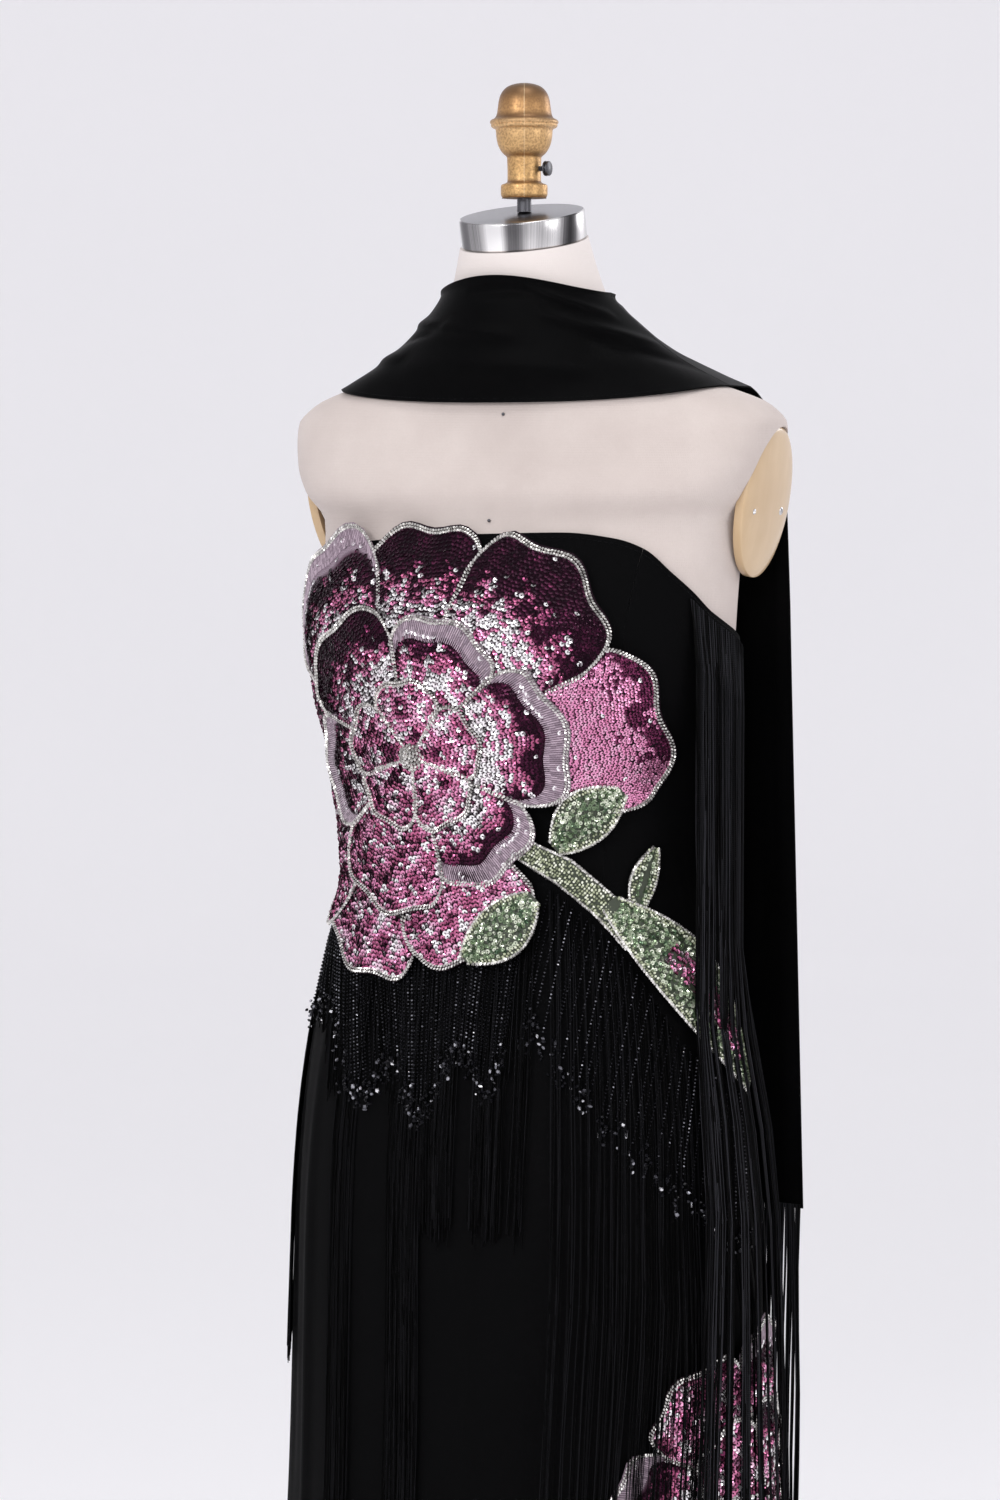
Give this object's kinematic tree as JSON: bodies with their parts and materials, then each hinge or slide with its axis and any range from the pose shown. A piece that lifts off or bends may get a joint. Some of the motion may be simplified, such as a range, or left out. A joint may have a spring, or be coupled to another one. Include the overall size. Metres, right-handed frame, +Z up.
{
  "type": "sequin evening gown on dress form",
  "caption": "Strapless black evening gown with a sequin and bead flower, long fringes and a draped fringed scarf, on a limbless dress form with a round base.",
  "frame": {"origin": "centre of the underside of the stand's base, on the floor", "axes": "+Z up, -Y the way the gown's front faces, +X the wearer's left"},
  "size_m": [0.4579, 0.4017, 1.6455],
  "materials": {
    "crepe": "matt black crepe",
    "thread": "black rayon thread with a soft sheen, and black glass beads",
    "sequin": "cupped pink to plum sequins with silver bead outlines",
    "green_bead": "pale and dark green seed beads",
    "canvas": "cream cotton cover",
    "wood": "pale varnished wood",
    "gold": "speckled gold paint",
    "chrome": "brushed",
    "dark_steel": "dark grey, satin"
  },
  "bodies": {
    "gown_and_form": {"arm_plate_left": "wood", "arm_plate_right": "wood", "bodice_back_left": "crepe", "bodice_back_right": "crepe", "bodice_front": "crepe", "bodice_side_left": "crepe", "bodice_side_right": "crepe", "bud": "green_bead", "bust_fringe": "thread", "flower_fringe": "thread", "flower_heart": "sequin", "form_torso": "canvas", "leaf_lower": "green_bead", "leaf_small": "green_bead", "leaf_upper": "green_bead", "middle_petal_1": "sequin", "middle_petal_2": "sequin", "middle_petal_3": "sequin", "middle_petal_4": "sequin", "middle_petal_5": "sequin", "middle_petal_6": "sequin", "neck_cap": "gold", "neck_plate": "chrome", "neck_rod": "dark_steel", "outer_petal_1": "sequin", "outer_petal_2": "sequin", "outer_petal_3": "sequin", "outer_petal_4": "sequin", "outer_petal_5": "sequin", "outer_petal_6": "sequin", "outer_petal_7": "sequin", "outer_petal_8": "sequin", "scarf_fringe_left": "thread", "scarf_fringe_right": "thread", "scarf_front": "crepe", "scarf_tail_left": "crepe", "scarf_tail_right": "crepe", "skirt_back_left": "crepe", "skirt_back_right": "crepe", "skirt_flower_layer_1": "sequin", "skirt_flower_layer_2": "sequin", "skirt_front": "crepe", "stand_base": "dark_steel", "stand_flange": "dark_steel", "stand_tube": "dark_steel", "stem": "green_bead", "stem_fringe": "thread", "zip_placket": "crepe", "zip_slider": "dark_steel"},
    "zip_tab": {"zip_tab": "dark_steel"},
    "thumb_screw": {"thumb_screw": "dark_steel"}
  },
  "joints": [
    {"name": "zip_tab_swing", "type": "hinge", "parent": "gown_and_form", "child": "zip_tab", "pos_m": [0, 0.1094, 1.215], "axis": [1, 0, 0], "range_deg": [0, 160]},
    {"name": "thumb_screw_turn", "type": "hinge", "parent": "gown_and_form", "child": "thumb_screw", "pos_m": [0, 0, 1.5837], "axis": [1, 0, 0], "continuous": true}
  ]
}
